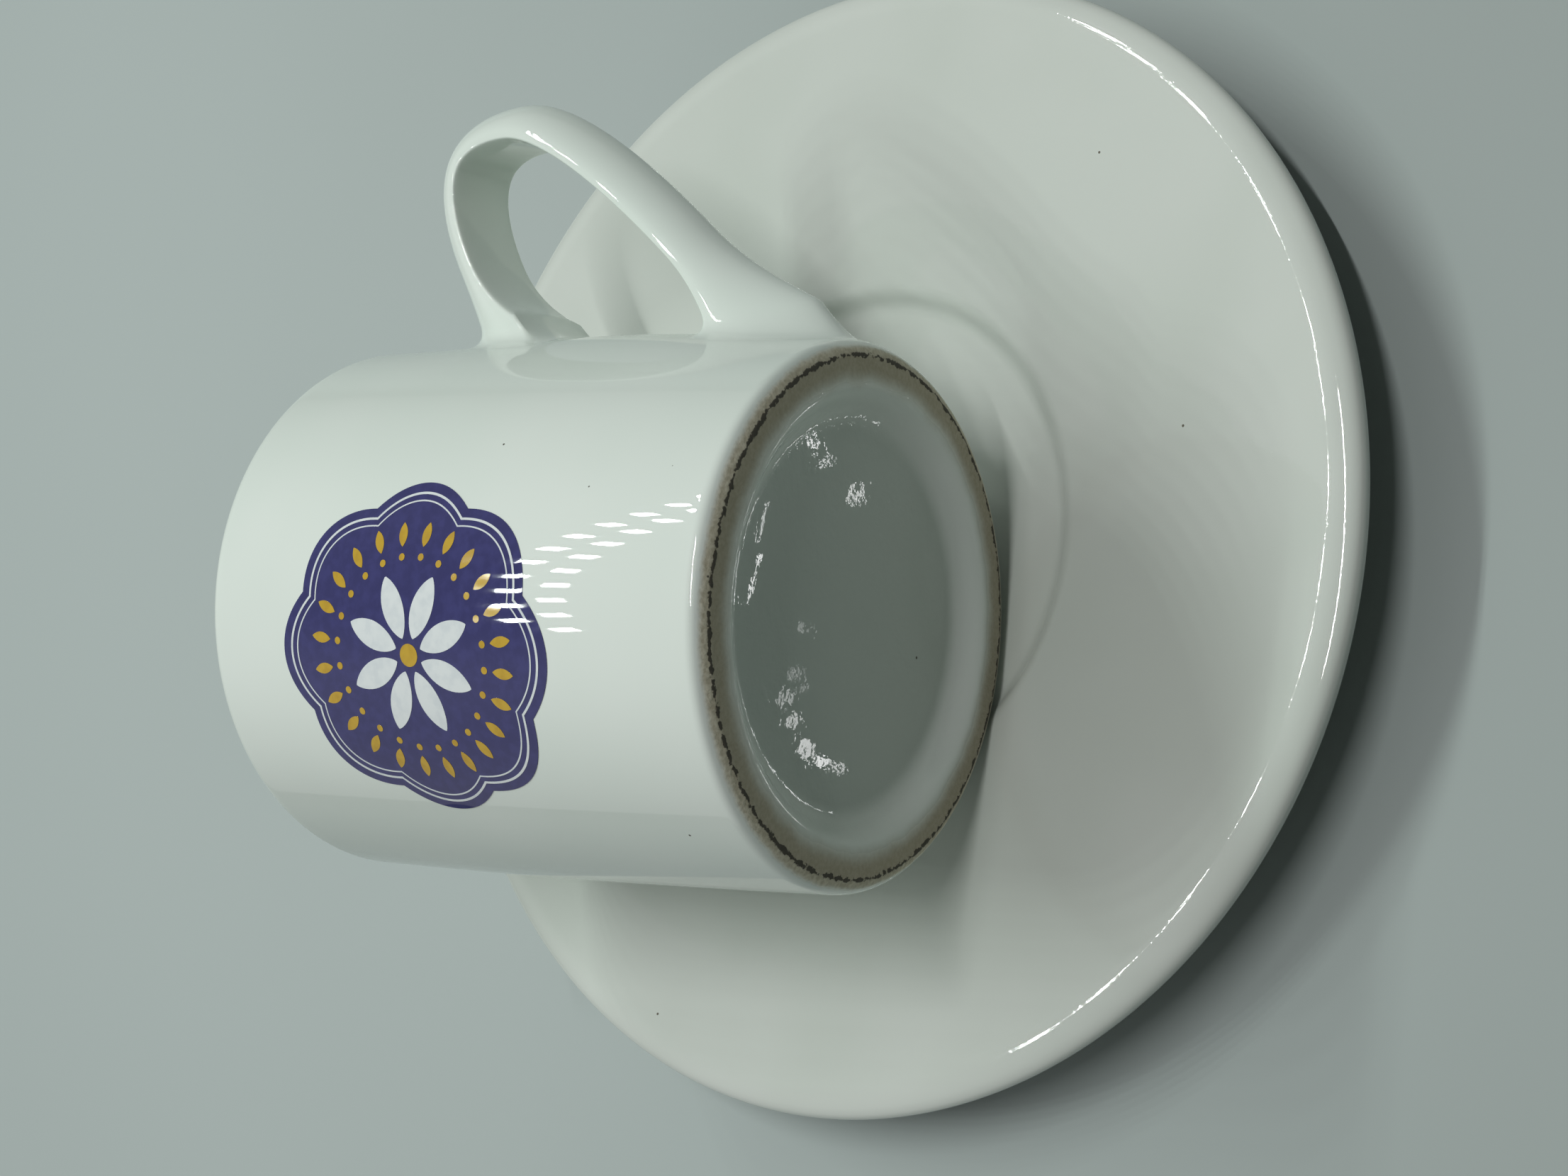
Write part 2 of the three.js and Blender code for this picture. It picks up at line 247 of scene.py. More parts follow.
class NodeSketch:
    """Short calls that lay out the nodes of one tree."""

    def __init__(self, tree: bpy.types.NodeTree, coords: str) -> None:
        """Starts on a tree with one kind of texture coordinates."""
        self.tree = tree
        self.coords = tree.nodes.new("ShaderNodeTexCoord").outputs[coords]

    def put(self, target: Socket, value: Socket | float | Rgb) -> None:
        """Links a socket to an input, or sets the input to a number or a colour.

        Args:
            target: The input.
            value: What it gets.
        """
        if isinstance(value, bpy.types.NodeSocket):
            self.tree.links.new(value, target)
        elif isinstance(value, tuple):
            target.default_value = linear(value)
        else:
            target.default_value = value

    def noise(self, size: float, detail: float = 2.0) -> Socket:
        """Cloudy noise.

        Args:
            size: Size of its features in millimetres.
            detail: How many finer layers are added.

        Returns:
            A value about 0.5.
        """
        node = self.tree.nodes.new("ShaderNodeTexNoise")
        node.inputs["Scale"].default_value = 1 / (size * MM)
        node.inputs["Detail"].default_value = detail
        self.put(node.inputs["Vector"], self.coords)
        return node.outputs[0]

    def waver(self, size: float, width: float) -> Socket:
        """Cloudy noise about 0, within half a width of it either way."""
        return self.math("MULTIPLY_ADD", self.noise(size, detail=3.0), width, -width / 2)

    def dots(self, spacing: float, radius: float) -> Socket:
        """Scattered round specks, 1 inside a speck and 0 outside it, soft over their outer three tenths.

        Args:
            spacing: Millimetres between the points that specks may sit on.
            radius: Largest radius of a speck in millimetres.

        Returns:
            The mask.
        """
        node = self.tree.nodes.new("ShaderNodeTexVoronoi")
        node.inputs["Scale"].default_value = 1 / (spacing * MM)
        self.put(node.inputs["Vector"], self.coords)
        reach = radius / spacing
        return self.remap(node.outputs["Distance"], reach, reach * 0.7)

    def along(self, direction: Triple | Vector) -> Socket:
        """Distance of the coordinates along a direction.

        Args:
            direction: The direction.

        Returns:
            The dot product of both.
        """
        node = self.tree.nodes.new("ShaderNodeVectorMath")
        node.operation = "DOT_PRODUCT"
        node.inputs[1].default_value = direction
        self.put(node.inputs[0], self.coords)
        return node.outputs["Value"]

    def value(self, name: str) -> Socket:
        """A named value of the piece's points.

        Args:
            name: Its name.

        Returns:
            The value.
        """
        node = self.tree.nodes.new("ShaderNodeAttribute")
        node.attribute_name = name
        return node.outputs["Fac"]

    def remap(
        self, value: Socket, low: float, high: float, start: float = 0.0, end: float = 1.0
    ) -> Socket:
        """Maps a value from one range to another with soft ends.

        Args:
            value: The value.
            low: Where it starts to change the result.
            high: Where it stops.
            start: Result at low.
            end: Result at high.

        Returns:
            The result.
        """
        node = self.tree.nodes.new("ShaderNodeMapRange")
        node.interpolation_type = "SMOOTHSTEP"
        self.put(node.inputs["Value"], value)
        for name, number in zip(("From Min", "From Max", "To Min", "To Max"), (low, high, start, end)):
            node.inputs[name].default_value = number
        return node.outputs[0]

    def math(self, operation: str, *values: Socket | float) -> Socket:
        """One step of arithmetic.

        Args:
            operation: Name of the operation.
            values: One to three values.

        Returns:
            The result.
        """
        node = self.tree.nodes.new("ShaderNodeMath")
        node.operation = operation
        for target, value in zip(node.inputs, values):
            self.put(target, value)
        return node.outputs[0]

    def mix(self, share: Socket, first: Socket | Rgb, second: Socket | Rgb) -> Socket:
        """Mixes two colours.

        Args:
            share: Share of the second colour.
            first: The first colour.
            second: The second colour.

        Returns:
            The mixed colour.
        """
        node = self.tree.nodes.new("ShaderNodeMix")
        node.data_type = "RGBA"
        # The node also mixes numbers and vectors: its colours are inputs 6 and 7 and output 2.
        self.put(node.inputs[0], share)
        self.put(node.inputs[6], first)
        self.put(node.inputs[7], second)
        return node.outputs[2]

    def bump(self, height: Socket, depth: float, under: Socket | None = None) -> Socket:
        """A bumped normal.

        Args:
            height: Relief from 0 to 1.
            depth: Depth of the relief in millimetres.
            under: Normal to bump further, if any.

        Returns:
            The normal.
        """
        node = self.tree.nodes.new("ShaderNodeBump")
        node.inputs["Strength"].default_value = 1.0
        node.inputs["Distance"].default_value = depth * MM
        self.put(node.inputs["Height"], height)
        if under is not None:
            self.put(node.inputs["Normal"], under)
        return node.outputs[0]


class Finish(NodeSketch):
    """Principled material under way, on Object coordinates."""

    def __init__(self, name: str) -> None:
        """Starts the material with its shader.

        Args:
            name: The material's name.
        """
        self.material = bpy.data.materials.new(name)
        self.material.use_nodes = True
        super().__init__(self.material.node_tree, "Object")
        self.shader = self.tree.nodes["Principled BSDF"]

    def set(self, socket: str, value: Socket | float | Rgb) -> None:
        """Gives one input of the shader a link, a number or a colour."""
        self.put(self.shader.inputs[socket], value)


@dataclass(frozen=True)
class BareFoot:
    """Unglazed, soiled clay on the ring under a piece, and the wavy glaze that pooled inside the ring,
    darkened there by painted shade.

    Both are placed by the mesh's value foot_run, the length along the profile from the ring's edge,
    which is more than 0 up the outside and less than 0 inside the ring. Lengths are millimetres.
    """

    dark: Rgb
    pale: Rgb
    worn: Rgb
    soil: Rgb
    # Colour of the painted shade in the recess inside the ring.
    pool: Rgb
    # Where the pooled glaze and the painted shade in the recess begin.
    pool_and_shade_edge: float
    inner_end: float
    inner_fade: float
    outer_end: float
    soil_width: float
    waves: float
    outer_fade: float = 0.7
    # Length over which the painted shade in the recess fades in.
    recess_shade_fade: float = 2.0
    waves_fade: float = 3.0
    wave_size: float = 1.5
    grain_size: float = 0.4
    grain_depth: float = 0.12
    fray_size: float = 1.3
    fray: float = 0.5
    mottle_size: float = 2.6
    wander_size: float = 1.4
    wander: float = 0.5
    crumb_size: float = 0.25
    crumbs: float = 0.4
    clump_size: float = 0.7
    clump_range: Point = (0.3, 0.62)
    soil_edge: Point = (0.02, -0.1)
    soil_share: float = 0.9
    tone_range: Point = (0.3, 0.72)
    worn_range: Point = (1.2, 0.2)
    worn_share: float = 0.6
    roughness: float = 0.85

    def bare(self, sketch: NodeSketch, run: Socket, mottle: Socket) -> Socket:
        """Mask of the clay: a ragged outer edge times a mottled inner one that fades slowly.

        Args:
            sketch: Where nodes are laid out.
            run: The foot_run value.
            mottle: The foot_run value moved about by noise.

        Returns:
            The mask.
        """
        ragged = sketch.math("MULTIPLY_ADD", sketch.noise(self.fray_size, detail=4.0), -self.fray, run)
        outer = sketch.remap(ragged, self.outer_end, self.outer_end - self.outer_fade)
        inner = sketch.remap(mottle, self.inner_end, self.inner_end + self.inner_fade)
        return sketch.math("MULTIPLY", outer, inner)

    def clay(self, sketch: NodeSketch, grain: Socket, mottle: Socket) -> Socket:
        """Colour of the clay: two tones by its grain, more worn inside the ring's edge.

        Args:
            sketch: Where nodes are laid out.
            grain: Fine noise.
            mottle: The foot_run value moved about by noise.

        Returns:
            The colour.
        """
        tones = sketch.mix(sketch.remap(grain, *self.tone_range), self.dark, self.pale)
        wear = sketch.remap(mottle, *self.worn_range, 0.0, self.worn_share)
        return sketch.mix(wear, tones, self.worn)

    def soiling(self, sketch: NodeSketch, run: Socket) -> Socket:
        """Mask of the soil: a wandering line along the ring's edge, as wide as its clumps, with crumbs.

        Args:
            sketch: Where nodes are laid out.
            run: The foot_run value.

        Returns:
            The mask.
        """
        wander = sketch.waver(self.wander_size, self.wander)
        line = sketch.math("ABSOLUTE", sketch.math("ADD", run, wander))
        crumbs = sketch.waver(self.crumb_size, self.crumbs)
        lumps = sketch.noise(self.clump_size, detail=3.0)
        clumps = sketch.remap(lumps, *self.clump_range, 0.0, self.soil_width)
        outside = sketch.math("SUBTRACT", sketch.math("ADD", line, crumbs), clumps)
        return sketch.remap(outside, *self.soil_edge, 0.0, self.soil_share)

    def swell(self, sketch: NodeSketch, run: Socket) -> Socket:
        """Relief of the pooled glaze, flat outside the pool.

        Args:
            sketch: Where nodes are laid out.
            run: The foot_run value.

        Returns:
            The relief, from -0.5 to 0.5.
        """
        pooled = sketch.remap(run, self.pool_and_shade_edge + self.waves_fade, self.pool_and_shade_edge)
        clouds = sketch.math("SUBTRACT", sketch.noise(self.wave_size, detail=3.0), 0.5)
        return sketch.math("MULTIPLY", clouds, pooled)


@dataclass(frozen=True)
class Glaze:
    """Fired white glaze with a faint drift of tone, slow ripples, fine peel, pinholes, a bare foot and
    painted shade in the foot's recess.
    """

    name: str
    tone: Rgb
    drift: Rgb
    speck: Rgb
    roughness: float
    ripple: float
    peel: float
    peel_size: float
    foot: BareFoot
    drift_size: float = 26.0
    drift_range: Point = (0.35, 0.68)
    ripple_size: float = 9.0
    pinhole_spacing: float = 7.0
    pinhole_radius: float = 0.17

    def material(self) -> bpy.types.Material:
        """Lays out the nodes: glaze, painted shade in the recess, clay, soil and pinholes, then the
        roughness and the relief.

        Returns:
            The material.
        """
        sketch = Finish(self.name)
        foot = self.foot
        run = sketch.value("foot_run")
        grain = sketch.noise(foot.grain_size, detail=4.0)
        mottle = sketch.math("ADD", sketch.noise(foot.mottle_size, detail=4.0), run)
        bare = foot.bare(sketch, run, mottle)
        # Painted shade: the glaze darkens towards the recess, inside the pool's edge.
        pool = sketch.remap(run, foot.pool_and_shade_edge, foot.pool_and_shade_edge - foot.recess_shade_fade)
        drift = sketch.remap(sketch.noise(self.drift_size), *self.drift_range)
        colour = sketch.mix(drift, self.tone, self.drift)
        colour = sketch.mix(pool, colour, foot.pool)
        colour = sketch.mix(bare, colour, foot.clay(sketch, grain, mottle))
        colour = sketch.mix(foot.soiling(sketch, run), colour, foot.soil)
        pinholes = sketch.dots(self.pinhole_spacing, self.pinhole_radius)
        sketch.set("Base Color", sketch.mix(pinholes, colour, self.speck))
        sketch.set("Roughness", sketch.remap(bare, 0.0, 1.0, self.roughness, foot.roughness))
        relief = sketch.bump(sketch.noise(self.ripple_size, detail=1.0), self.ripple)
        relief = sketch.bump(sketch.noise(self.peel_size, detail=1.0), self.peel, relief)
        relief = sketch.bump(foot.swell(sketch, run), foot.waves, relief)
        relief = sketch.bump(sketch.math("MULTIPLY", grain, bare), foot.grain_depth, relief)
        sketch.set("Normal", relief)
        return sketch.material


@dataclass(frozen=True)
class Ink:
    """Fired print: one colour with a faint mottle, as glossy as the glaze under it."""

    name: str
    tone: Rgb
    mottle: Rgb
    roughness: float
    ripple: float = 0.005
    ripple_size: float = 9.0
    cloud_size: float = 1.1
    cloud_range: Point = (0.36, 0.7)
    cloud_dulls: float = 1.4

    def material(self) -> bpy.types.Material:
        """Lays out the nodes: clouds between the two tones, a little duller in the second, and ripples.

        Returns:
            The material.
        """
        sketch = Finish(self.name)
        clouds = sketch.remap(sketch.noise(self.cloud_size, detail=4.0), *self.cloud_range)
        sketch.set("Base Color", sketch.mix(clouds, self.tone, self.mottle))
        dull = self.roughness * self.cloud_dulls
        sketch.set("Roughness", sketch.remap(clouds, 0.0, 1.0, self.roughness, dull))
        sketch.set("Normal", sketch.bump(sketch.noise(self.ripple_size, detail=1.0), self.ripple))
        return sketch.material


CUP_FOOT = BareFoot(
    dark=(184, 178, 155),
    pale=(211, 207, 186),
    worn=(162, 154, 131),
    soil=(42, 38, 31),
    # Painted shade that darkens the glaze in the recess of the cup's base.
    pool=(192, 203, 195),
    pool_and_shade_edge=-5.6,
    inner_end=-2.9,
    inner_fade=2.4,
    outer_end=1.05,
    soil_width=0.32,
    waves=0.08,
)
SAUCER_FOOT = BareFoot(
    dark=(164, 161, 140),
    pale=(188, 186, 166),
    worn=(150, 146, 126),
    soil=(74, 69, 58),
    # Same as the saucer's glaze, so no painted shade shows under the saucer.
    pool=(202, 209, 201),
    pool_and_shade_edge=-4.0,
    inner_end=-0.9,
    inner_fade=0.5,
    outer_end=1.6,
    soil_width=0.2,
    waves=0.0,
)
CUP_GLAZE = Glaze(
    name="cup_glaze",
    tone=(219, 229, 221),
    drift=(224, 232, 225),
    speck=(84, 82, 72),
    roughness=0.015,
    ripple=0.005,
    peel=0.0006,
    peel_size=1.2,
    foot=CUP_FOOT,
)
SAUCER_GLAZE = Glaze(
    name="saucer_glaze",
    tone=(202, 209, 201),
    drift=(208, 214, 207),
    speck=(104, 100, 88),
    roughness=0.03,
    ripple=0.006,
    peel=0.005,
    peel_size=0.5,
    foot=SAUCER_FOOT,
)
NAVY_INK = Ink("navy_ink", tone=(44, 45, 99), mottle=(52, 53, 110), roughness=0.02)
WHITE_INK = Ink("white_ink", tone=(222, 228, 228), mottle=(212, 219, 221), roughness=0.02)
GOLD_INK = Ink("gold_ink", tone=(196, 160, 40), mottle=(182, 145, 30), roughness=0.08)


def add_piece(
    name: str,
    surface: Surface,
    material: bpy.types.Material,
    body: Body,
    node: str | None = None,
    sharp: float | None = None,
) -> None:
    """Makes a smooth mesh piece at the origin and ties it to its body.

    Args:
        name: The piece's name.
        surface: Its mesh in millimetres.
        material: Its finish.
        body: The CAD body that it moves with.
        node: The CAD node that it stands for, if any.
        sharp: Angle in degrees past which its edges stay sharp, if any do.
    """
    mesh = bpy.data.meshes.new(name)
    mesh.from_pydata(surface.points * MM, [], surface.faces)
    for value_name, values in surface.values.items():
        attribute = mesh.attributes.new(value_name, "FLOAT", "POINT")
        attribute.data.foreach_set("value", values.astype(np.float32))
    mesh.shade_smooth()
    if sharp:
        mesh.set_sharp_from_angle(angle=math.radians(sharp))
    mesh.materials.append(material)
    piece = bpy.data.objects.new(name, mesh)
    bpy.context.scene.collection.objects.link(piece)
    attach(piece, body.value)
    if node:
        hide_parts(node)
    LOG.info("%s: %d faces on body %s", name, len(surface.faces), body.value)


# Saucer


@dataclass
class Saucer:
    """Round dish with a flat well, a soft step, a wide slope and a broad, rounded rim."""

    radius: float = 60.0
    height: float = 11.1
    rim_width: float = 3.6
    crown_width: float = 2.5
    crown_fall: float = 0.33
    rim_roll: float = 1.2
    rim_undercut: float = 2.0
    well_radius: float = 28.0
    well_edge: float = 6.7
    well_depth: float = 1.6
    well_slope: float = 3.2
    slope_at_well: float = 0.12
    slope_at_rim: float = 0.185
    slope_run: float = 9.5
    floor_thickness: float = 3.6
    underside_run_at_rim: float = 7.0
    underside_run_at_foot: float = 9.0
    foot_radius: float = 33.0
    foot_width: float = 3.0
    foot_round: float = 0.8
    turns: int = 320

    def crown(self) -> Array:
        """Top of the rim: a parabola from the slope's steepness over to the fall on the outer side.

        Returns:
            Profile points (radius, height).
        """
        start = self.radius - self.rim_width
        half = self.crown_width / 2
        rise = half * self.slope_at_rim**2 / (self.slope_at_rim + self.crown_fall)
        low = self.height - rise
        middle = low + half * self.slope_at_rim
        end = (start + 2 * half, middle - half * self.crown_fall)
        return bezier((start, low), (start + half, middle), end, steps=24)

    def top(self) -> Array:
        """Upper side, from the axis over the crown of the rim: Bezier curves that meet without a kink.

        Returns:
            Profile points (radius, height).
        """
        floor = self.well_edge - self.well_depth
        foot = self.well_radius - self.well_slope
        half = self.well_slope / 2
        run = self.slope_run
        crown = self.crown()
        return chain(
            bezier((0, floor), (foot, floor), steps=16),
            bezier(
                (foot, floor),
                (foot + half, floor),
                (self.well_radius - half, self.well_edge - half * self.slope_at_well),
                (self.well_radius, self.well_edge),
                steps=24,
            ),
            bezier(
                (self.well_radius, self.well_edge),
                (self.well_radius + run, self.well_edge + run * self.slope_at_well),
                (crown[0, 0] - run, crown[0, 1] - run * self.slope_at_rim),
                (crown[0, 0], crown[0, 1]),
                steps=40,
            ),
            crown,
        )

    def underside(self) -> Array:
        """Rest of the profile, round the rim and over the foot ring back to the axis, in Bezier curves.

        Returns:
            Profile points (radius, height).
        """
        crown_end = self.crown()[-1]
        widest = crown_end[1] - self.rim_roll
        rim_under = widest - self.rim_undercut
        turns_under = crown_end[0] - self.rim_roll
        out = (self.radius - crown_end[0]) / 2
        under = self.well_edge - self.well_depth - self.floor_thickness
        outer = self.foot_radius + self.foot_width / 2
        inner = self.foot_radius - self.foot_width / 2
        soft = self.foot_round
        return chain(
            bezier(
                (crown_end[0], crown_end[1]),
                (crown_end[0] + out, crown_end[1] - out * self.crown_fall),
                (self.radius, widest + self.rim_roll / 2),
                (self.radius, widest),
                steps=18,
            ),
            bezier(
                (self.radius, widest),
                (self.radius, widest - self.rim_undercut / 2),
                (self.radius - out, rim_under),
                (turns_under, rim_under),
                steps=18,
            ),
            bezier(
                (turns_under, rim_under),
                (turns_under - self.underside_run_at_rim, rim_under),
                (outer + self.underside_run_at_foot, under + soft),
                (outer + soft, under),
                steps=36,
            ),
            bezier((outer + soft, under), (outer, under), (outer, under - soft), steps=8),
            bezier((outer, soft), (outer, 0), (outer - soft, 0), steps=8),
            bezier((outer - soft, 0), (inner + soft, 0), steps=6),
            bezier((inner + soft, 0), (inner, 0), (inner, soft), steps=8),
            bezier((inner, under - soft), (inner, under), (inner - soft, under), steps=8),
            bezier((inner - soft, under), (0, under), steps=14),
        )

    def build(self) -> None:
        """Makes the dish and dresses it."""
        profile = chain(self.top(), self.underside())
        surface = lathe(profile, self.turns)
        lengths = run_lengths(profile)
        stands = np.abs(profile - [self.foot_radius, 0]).sum(axis=1).argmin()
        surface.values["foot_run"] = along_profile(lengths[stands] - lengths, self.turns)
        glaze = SAUCER_GLAZE.material()
        add_piece("saucer_dish", surface, glaze, Body.SAUCER, "saucer")


# Cup


@dataclass
class LyingPose:
    """Where the cup lies: the middle of its foot, its tilt and how far its handle stands up."""

    base: Triple = (-11.4, -22.4, 30.334)
    tilt: float = 5.098
    handle_tilt: float = 8.0

    def place(self, points: Array) -> Array:
        """Turns and moves points from the standing cup's own frame to where the cup lies.

        Args:
            points: Points with the cup's axis along Z and its handle along X.

        Returns:
            The points in the part's frame.
        """
        turn = Matrix.Rotation(math.radians(self.tilt - 90), 3, "X")
        turn = turn @ Matrix.Rotation(math.radians(-self.handle_tilt), 3, "Z")
        return points @ np.array(turn).T + np.array(self.base)


@dataclass
class CupShell:
    """The cup's wall, lip, floor and recessed foot, turned in one piece."""

    height: float = 58.4
    lip_radius: float = 27.1
    lip_thickness: float = 2.4
    base_radius: float = 25.1
    bulge: float = 0.3
    wall: float = 3.2
    floor: float = 4.2
    inner_corner: float = 9.0
    chamfer_width: float = 1.5
    chamfer_height: float = 1.9
    edge_round: float = 1.6
    edge_turn: float = 0.72
    corner_cut: float = 0.38
    flat_width: float = 2.6
    recess_depth: float = 2.3
    recess_slope: float = 3.9
    recess_run_at_disc: float = 2.0
    recess_run_at_flat: float = 1.4
    swell: float = 0.85
    swell_height: float = 25.5
    swell_long: float = 30.0
    swell_wide: float = 15.0
    wall_steps: int = 70
    turns: int = 380

    def wall_radius(self, height: Array) -> Array:
        """Outer radius: a straight taper plus a parabola that is highest halfway up.

        Args:
            height: Heights above the foot.

        Returns:
            The radius at each height.
        """
        share = np.asarray(height) / self.height
        taper = self.base_radius + (self.lip_radius - self.base_radius) * share
        return taper + 4 * self.bulge * share * (1 - share)

    def swelling(self, height: Array, around: Array) -> Array:
        """How far the wall swells out by the handle: a squared cosine of the distance from the middle of
        an oval, which is swell_long half its height and swell_wide half its width.

        Args:
            height: Heights above the foot.
            around: Distances round the wall from the handle's plane.

        Returns:
            Lengths to add to the radius.
        """
        reach = np.hypot((height - self.swell_height) / self.swell_long, around / self.swell_wide)
        return self.swell * np.cos(np.clip(reach, 0, 1) * np.pi / 2) ** 2

    def lip_round(self) -> tuple[float, Point]:
        """Circle that rounds the lip.

        Returns:
            Its radius, and its middle (radius, height).
        """
        radius = self.lip_thickness / 2
        height = self.height - radius
        return radius, (float(self.wall_radius(height)) - radius, height)

    def flat_edge(self) -> float:
        """Radius at the outer edge of the foot's flat."""
        return float(self.wall_radius(self.chamfer_height)) - self.chamfer_width

    def inside(self) -> Array:
        """Profile from the middle of the inner floor to the top of the lip: lines, a parabola, an arc.

        Returns:
            Profile points (radius, height).
        """
        lip, middle = self.lip_round()
        floor = self.recess_depth + self.floor
        corner_top = floor + self.inner_corner
        corner = float(self.wall_radius(corner_top)) - self.wall
        return chain(
            bezier((0, floor), (corner - self.inner_corner, floor), steps=10),
            bezier((corner - self.inner_corner, floor), (corner, floor), (corner, corner_top), steps=20),
            bezier((corner, corner_top), (middle[0] - lip, middle[1]), steps=24),
            arc(middle, lip, 180, 90, steps=10),
        )

    def outside(self) -> Array:
        """Profile from the top of the lip down the wall and round the edge to the foot's flat.

        Returns:
            Profile points (radius, height).
        """
        lip, middle = self.lip_round()
        heights = np.linspace(middle[1], self.edge_round, self.wall_steps + 1)
        return chain(
            arc(middle, lip, 90, 0, steps=10),
            np.stack([self.wall_radius(heights), heights], axis=1),
            bezier(
                (float(self.wall_radius(self.edge_round)), self.edge_round),
                (float(self.wall_radius(self.edge_turn)), self.edge_turn),
                (float(self.wall_radius(0)) - self.corner_cut, self.corner_cut),
                (self.flat_edge(), 0),
                steps=36,
            ),
        )

    def foot(self) -> Array:
        """Profile from the edge of the foot's flat over the recess to the axis.

        Returns:
            Profile points (radius, height).
        """
        flat_inner = self.flat_edge() - self.flat_width
        disc = flat_inner - self.recess_slope
        return chain(
            bezier((self.flat_edge(), 0), (flat_inner, 0), steps=12),
            bezier(
                (flat_inner, 0),
                (flat_inner - self.recess_run_at_flat, 0),
                (disc + self.recess_run_at_disc, self.recess_depth),
                (disc, self.recess_depth),
                steps=24,
            ),
            bezier((disc, self.recess_depth), (0, self.recess_depth), steps=14),
        )

    def build(self, pose: LyingPose, glaze: bpy.types.Material) -> None:
        """Makes the shell and dresses it.

        Args:
            pose: Where the cup lies.
            glaze: The cup's glaze.
        """
        above = chain(self.inside(), self.outside())
        profile = chain(above, self.foot())
        surface = lathe(profile, self.turns)
        lengths = run_lengths(profile)
        surface.values["foot_run"] = along_profile(lengths[len(above) - 1] - lengths, self.turns)
        on_wall = along_profile(np.arange(len(profile)) >= len(self.inside()), self.turns)
        around = np.arctan2(surface.points[:, 1], surface.points[:, 0]) * self.base_radius
        swelling = self.swelling(surface.points[:, 2], around) * on_wall
        surface.points[:, :2] *= 1 + (swelling / self.base_radius)[:, None]
        surface.points = pose.place(surface.points)
        add_piece("cup_shell", surface, glaze, Body.CUP, "cup_body")


# Handle


@dataclass
class Handle:
    """Bent strap, round outside and nearly flat inside, filleted into the wall at both ends."""

    shell: CupShell
    upper_seat_below_lip: float = 15.8
    lower_seat: float = 10.3
    reach: float = 22.8
    crest_below_lip: float = 16.2
    arch_forward: float = 11.4
    arch_drop: float = 9.2
    run_at_crest: float = 8.5
    run_rise: float = 6.4
    run_shift: float = 5.0
    thickness_top: float = 3.9
    thickness_bottom: float = 4.4
    width_top: float = 8.8
    width_bottom: float = 7.2
    roundness_outside: float = 1.65
    squareness_inside: float = 7.0
    ridge_shift: float = 0.66
    lower_flare: float = 3.6
    upper_flare: float = 2.5
    flare_width: float = 0.8
    lower_flare_length: float = 14.0
    upper_flare_length: float = 10.0
    root: float = 9.0
    root_flare: float = 0.1
    fillet: float = 2.2
    fillet_at_foot: float = 1.0
    climb: float = 2.4
    climb_more: float = 2.4
    foot_side_top: float = 12.0
    foot_side_fade: float = 8.0
    sunk: float = 0.25
    sides: int = 96
    line_steps: int = 400
    root_steps: int = 90
    samples: int = 1200
    strap_steps: int = 150
    fillet_steps: int = 14

    def line(self) -> Array:
        """Middle line in the plane of the cup's axis: a root, the run, the arch and a root.

        Returns:
            Closely spaced points (distance from the axis, height).
        """
        crest_height = self.shell.height - self.crest_below_lip
        upper_height = self.shell.height - self.upper_seat_below_lip
        crest = np.array([float(self.shell.wall_radius(crest_height)) + self.reach, crest_height])
        lower = np.array([float(self.shell.wall_radius(self.lower_seat)), self.lower_seat])
        upper = np.array([float(self.shell.wall_radius(upper_height)), upper_height])
        run_leaves = lower + [self.run_rise, self.run_shift]
        arch_leaves = crest + [0, self.arch_forward]
        arch_turns = arch_leaves - [self.arch_drop, 0]
        run = bezier(lower, run_leaves, crest - [0, self.run_at_crest], crest, steps=self.line_steps)
        arch = bezier(crest, arch_leaves, arch_turns, upper, steps=self.line_steps)
        return chain(self.root_run(lower, run_leaves)[::-1], run, arch, self.root_run(upper, arch_turns))

    def root_run(self, seat: Array, after: Array) -> Array:
        """Straight run from a seat into the wall, away from the next control point."""
        inward = (seat - after) / np.linalg.norm(seat - after)
        return bezier(seat, seat + inward * self.root, steps=self.root_steps)

    def strap(self) -> Array:
        """Sections along the line: centre + normal * a * C + across * b * S, where a and b swell towards
        the seats. C and S are signed powers of cosine and sine, round outside and nearly square inside,
        with the widest place shifted to the inner side.

        Returns:
            Points (along, round, 3).
        """
        line = self.line()
        lengths = run_lengths(line)
        total = lengths[-1]
        even = np.linspace(0, total, self.samples)
        line = np.stack([np.interp(even, lengths, line[:, i]) for i in range(2)], axis=1)
        tangent = np.gradient(line, axis=0)
        tangent /= np.linalg.norm(tangent, axis=1, keepdims=True)
        from_seat = np.minimum(even, total - even) - self.root
        lower = even < total / 2
        flare_length = np.where(lower, self.lower_flare_length, self.upper_flare_length)
        flare = np.clip(1 - from_seat / flare_length, 0, 1) ** 2
        flare += np.maximum(-from_seat, 0) / flare_length * 2 * self.root_flare
        seat_flare = np.where(lower, self.lower_flare, self.upper_flare)
        thickness = self.thickness_bottom + (self.thickness_top - self.thickness_bottom) * even / total
        half_thick = thickness / 2 + flare * seat_flare
        width = self.width_bottom + (self.width_top - self.width_bottom) * even / total
        half_wide = width / 2 + flare * self.flare_width
        angle = np.linspace(0, 2 * np.pi, self.sides, endpoint=False)
        outer = np.cos(angle) > 0
        power = 2 / np.where(outer, self.roundness_outside, self.squareness_inside)
        depth = np.where(outer, 1 + self.ridge_shift, 1 - self.ridge_shift)
        across_thick = np.sign(np.cos(angle)) * np.abs(np.cos(angle)) ** power * depth - self.ridge_shift
        across_wide = np.sign(np.sin(angle)) * np.abs(np.sin(angle)) ** power
        points = np.empty((len(line), self.sides, 3))
        points[..., 0] = line[:, :1] + (tangent[:, 1] * half_thick)[:, None] * across_thick
        points[..., 1] = half_wide[:, None] * across_wide
        points[..., 2] = line[:, 1:] - (tangent[:, 0] * half_thick)[:, None] * across_thick
        return points

